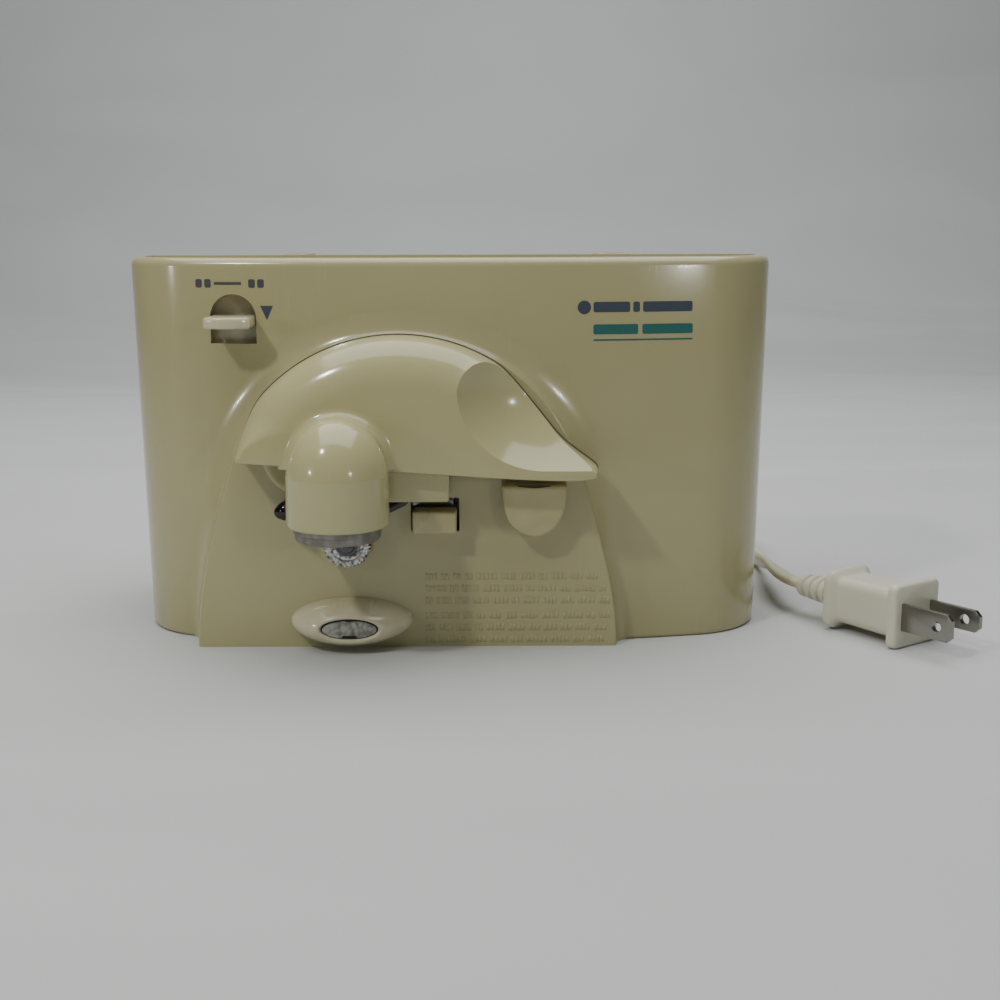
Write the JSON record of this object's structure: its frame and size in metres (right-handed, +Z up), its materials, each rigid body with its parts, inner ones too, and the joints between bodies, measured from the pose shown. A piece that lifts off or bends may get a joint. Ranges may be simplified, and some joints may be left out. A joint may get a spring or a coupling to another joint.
{
  "type": "electric can opener",
  "caption": "Under-cabinet electric can opener: bulging almond case with a hinged cutting lever, lid magnet, serrated drive wheel, can rest, release slider, geared motor and plugged lead.",
  "frame": {"origin": "middle of the case's box at floor level, without the lead and plug", "axes": "+Z up, +X to the right as seen from the front, front face towards -Y"},
  "size_m": [0.2453, 0.1917, 0.111],
  "materials": {
    "case_plastic": "glossy moulded almond plastic, lightly scuffed",
    "guide_plastic": "satin moulded plastic",
    "zinc_steel": "zinc-plated steel",
    "wheel_steel": "hardened steel, scratched by use",
    "dark_steel": "darkened steel",
    "bronze": "sintered bronze",
    "gear_nylon": "natural nylon",
    "laminations": "varnished steel laminations",
    "fan_plastic": "dark moulded nylon",
    "copper_wire": "enamelled copper wire",
    "bracket_aluminium": "die-cast, satin",
    "button_plastic": "satin acetal",
    "cutter_chrome": "polished, with fine scratches",
    "magnet_ferrite": "dull pressed disc with a mottled, stained face",
    "lead_vinyl": "soft ivory vinyl",
    "plug_vinyl": "off-white moulded vinyl",
    "plug_brass": "plated brass"
  },
  "bodies": {
    "case": {"front_housing": "case_plastic", "rear_cover": "case_plastic", "cover_screws": "zinc_steel", "mounting_bracket": "zinc_steel", "bracket_screws": "zinc_steel", "gear_plate": "zinc_steel", "plate_screws": "zinc_steel", "drive_bushing": "bronze", "second_axle": "zinc_steel", "first_axle": "zinc_steel", "stator_core": "laminations", "coil_bobbin": "fan_plastic", "motor_coil": "copper_wire", "front_bearing_bracket": "bracket_aluminium", "rear_bearing_bracket": "bracket_aluminium", "motor_bearings": "bronze", "motor_spacers": "zinc_steel", "motor_screws": "zinc_steel", "switch_body": "fan_plastic", "pivot_bushing": "bronze", "lever_spring": "zinc_steel", "slider_guide": "guide_plastic", "release_spring": "zinc_steel", "rim_guide": "case_plastic", "guide_leaf": "zinc_steel", "lever_stop": "case_plastic", "can_rest": "case_plastic", "rest_insert": "dark_steel", "cord_gland": "guide_plastic", "cord_lead": "lead_vinyl", "cord_coil": "lead_vinyl", "cord_run": "lead_vinyl", "plug_relief": "plug_vinyl", "plug_body": "plug_vinyl", "plug_blades": "plug_brass"},
    "cutting_lever": {"lever": "case_plastic", "lever_hub": "case_plastic", "pivot_pin": "zinc_steel", "cutter_plate": "cutter_chrome", "cutter_screw": "dark_steel", "lid_magnet": "magnet_ferrite", "magnet_pin": "zinc_steel"},
    "cutting_wheel": {"cutting_wheel": "cutter_chrome"},
    "output": {"drive_wheel": "wheel_steel", "wheel_screw": "dark_steel", "drive_shaft": "zinc_steel", "output_gear": "gear_nylon"},
    "second_stage": {"second_gear": "gear_nylon"},
    "first_stage": {"first_gear": "gear_nylon"},
    "motor_rotor": {"rotor": "laminations", "rotor_shaft": "zinc_steel", "rotor_pinion": "bronze", "cooling_fan": "fan_plastic"},
    "release": {"release_slider": "case_plastic", "release_latch": "zinc_steel"},
    "button": {"switch_button": "button_plastic"}
  },
  "joints": [
    {"name": "lever_lift", "type": "hinge", "parent": "case", "child": "cutting_lever", "pos_m": [-0.041, -0.031, 0.0565], "axis": [0, -1, 0], "range_deg": [0, 38]},
    {"name": "cutter_spin", "type": "hinge", "parent": "cutting_lever", "child": "cutting_wheel", "pos_m": [-0.0296, -0.031, 0.043], "axis": [0, -1, 0], "continuous": true},
    {"name": "rotor_spin", "type": "hinge", "parent": "case", "child": "motor_rotor", "pos_m": [0.04238, 0.026, 0.04982], "axis": [0, -1, 0], "continuous": true},
    {"name": "first_gear_spin", "type": "hinge", "parent": "case", "child": "first_stage", "pos_m": [0.01804, 0.006, 0.05634], "axis": [0, -1, 0], "continuous": true},
    {"name": "second_gear_spin", "type": "hinge", "parent": "case", "child": "second_stage", "pos_m": [-0.00545, 0.001, 0.04779], "axis": [0, -1, 0], "continuous": true},
    {"name": "drive_spin", "type": "hinge", "parent": "case", "child": "output", "pos_m": [-0.029, -0.014, 0.0313], "axis": [0, -1, 0], "continuous": true},
    {"name": "release_slide", "type": "slide", "parent": "case", "child": "release", "axis": [0, 0, -1], "range_m": [0, 0.004], "stiffness_N_per_m": 300, "springref_m": -0.002, "deforming": ["release_spring"]},
    {"name": "switch_press", "type": "slide", "parent": "case", "child": "button", "axis": [0, 1, 0], "range_m": [0, 0.0015], "stiffness_N_per_m": 200, "springref_m": -0.001}
  ],
  "couplings": [
    {"joint": "first_gear_spin", "follows": "rotor_spin", "ratio": -0.21739},
    {"joint": "second_gear_spin", "follows": "rotor_spin", "ratio": 0.054348},
    {"joint": "drive_spin", "follows": "rotor_spin", "ratio": -0.015097}
  ]
}
